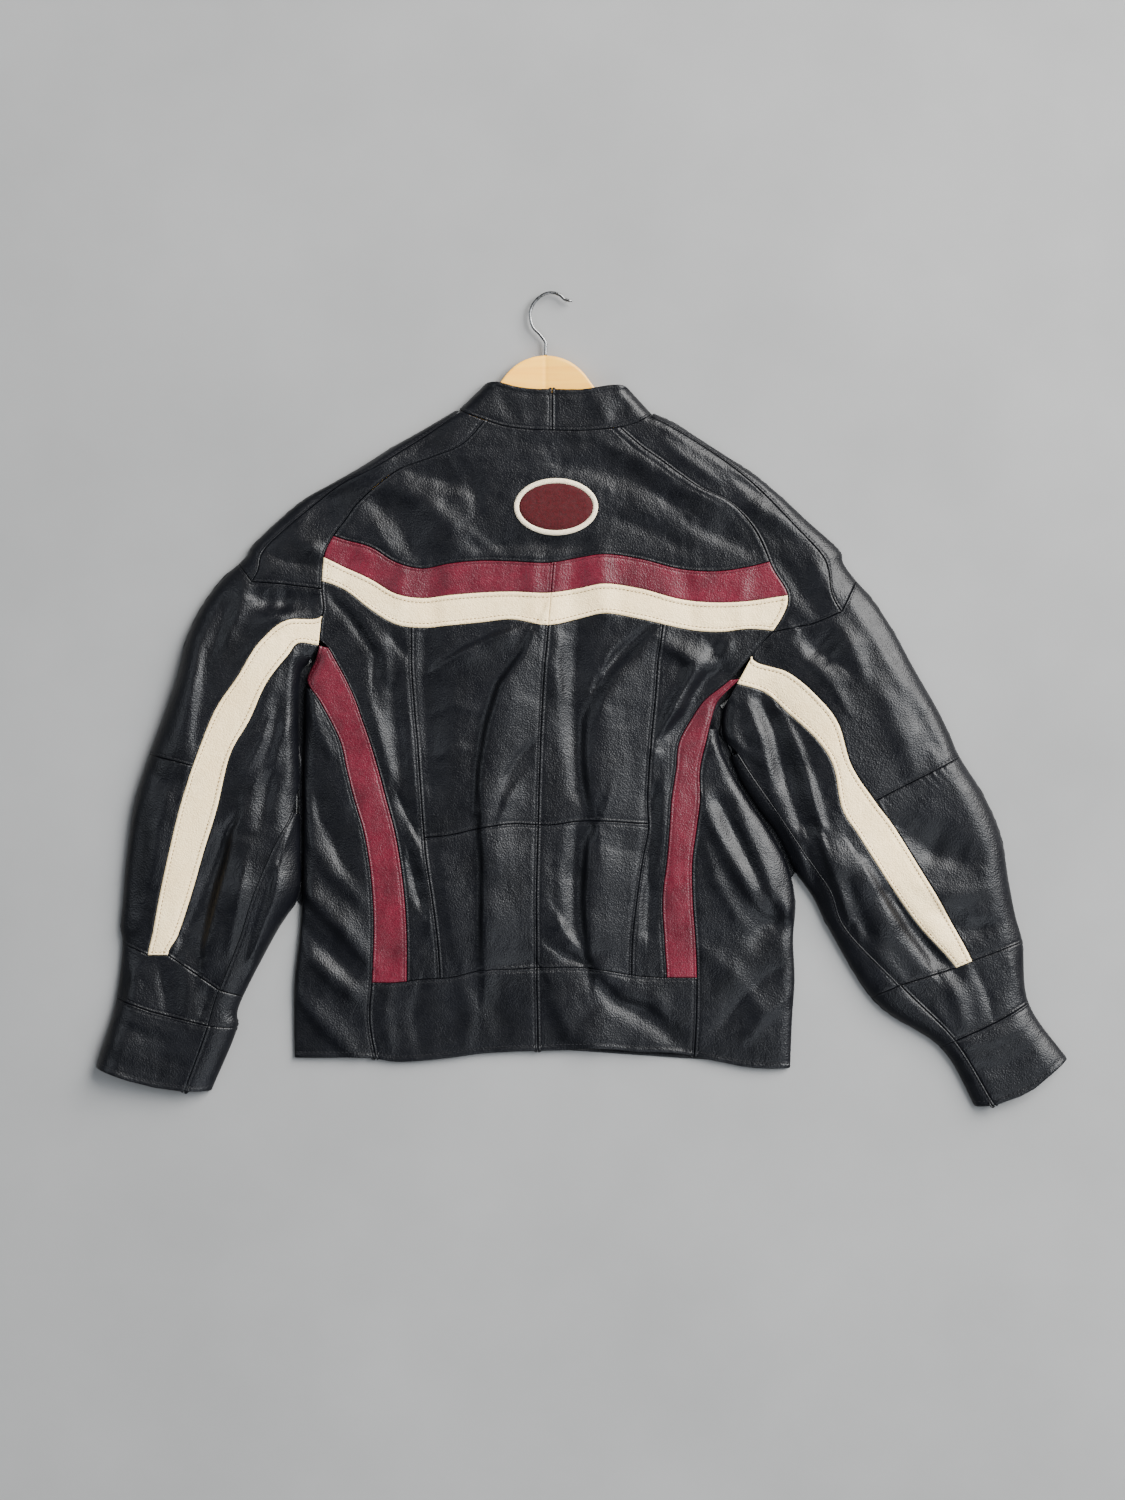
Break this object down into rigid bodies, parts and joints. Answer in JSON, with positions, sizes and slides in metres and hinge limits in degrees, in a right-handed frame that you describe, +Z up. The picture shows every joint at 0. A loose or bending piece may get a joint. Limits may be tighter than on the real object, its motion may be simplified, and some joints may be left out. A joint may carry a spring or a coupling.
{
  "type": "leather racing jacket on a hanger",
  "caption": "A leather racing jacket with a stand collar, coloured back bands and side stripes, lying flat and face down on the wooden hanger inside it.",
  "frame": {"origin": "middle of the footprint, on the surface that the jacket lies on", "axes": "+X to the right of the jacket's back as seen from above, +Y towards the collar, +Z up off the surface"},
  "size_m": [1.004, 0.8426, 0.028],
  "materials": {
    "black_leather": "semi-gloss, fine grain",
    "cream_leather": "satin, fine grain",
    "burgundy_leather": "satin, fine grain",
    "wood": "lacquered",
    "steel": "plain wire",
    "zip_tape": "woven"
  },
  "bodies": {
    "root": {"back_lower_left": "black_leather", "back_lower_right": "black_leather", "back_upper_left": "black_leather", "back_upper_right": "black_leather", "back_yoke": "black_leather", "badge_border": "cream_leather", "badge_face": "burgundy_leather", "band_burgundy_left": "burgundy_leather", "band_burgundy_right": "burgundy_leather", "band_cream_left": "cream_leather", "band_cream_right": "cream_leather", "collar_back_left": "black_leather", "collar_back_right": "black_leather", "collar_front_left": "black_leather", "collar_front_right": "black_leather", "cuff_end_left": "black_leather", "cuff_end_right": "black_leather", "cuff_flat_left": "black_leather", "cuff_flat_right": "black_leather", "cuff_left": "black_leather", "cuff_right": "black_leather", "front_left": "black_leather", "front_right": "black_leather", "hanger_hook": "steel", "hanger_wood": "wood", "hem_band_left": "black_leather", "hem_band_right": "black_leather", "shoulder_edge_left": "black_leather", "shoulder_edge_right": "black_leather", "shoulder_left": "black_leather", "shoulder_right": "black_leather", "side_back_left": "black_leather", "side_back_right": "black_leather", "side_panel_left": "black_leather", "side_panel_right": "black_leather", "side_stripe_left": "burgundy_leather", "side_stripe_right": "burgundy_leather", "sleeve_flat_left": "black_leather", "sleeve_flat_right": "black_leather", "sleeve_forearm_left": "black_leather", "sleeve_forearm_right": "black_leather", "sleeve_inner_left": "black_leather", "sleeve_inner_right": "black_leather", "sleeve_stripe_left": "cream_leather", "sleeve_stripe_right": "cream_leather", "sleeve_under_strip_left": "black_leather", "sleeve_under_strip_right": "black_leather", "sleeve_upper_left": "black_leather", "sleeve_upper_right": "black_leather", "wrist_left": "black_leather", "wrist_right": "black_leather", "wrist_strip_left": "black_leather", "wrist_strip_right": "black_leather", "zip_slider": "steel", "zip_tape_left": "zip_tape", "zip_tape_right": "zip_tape"}
  },
  "joints": []
}
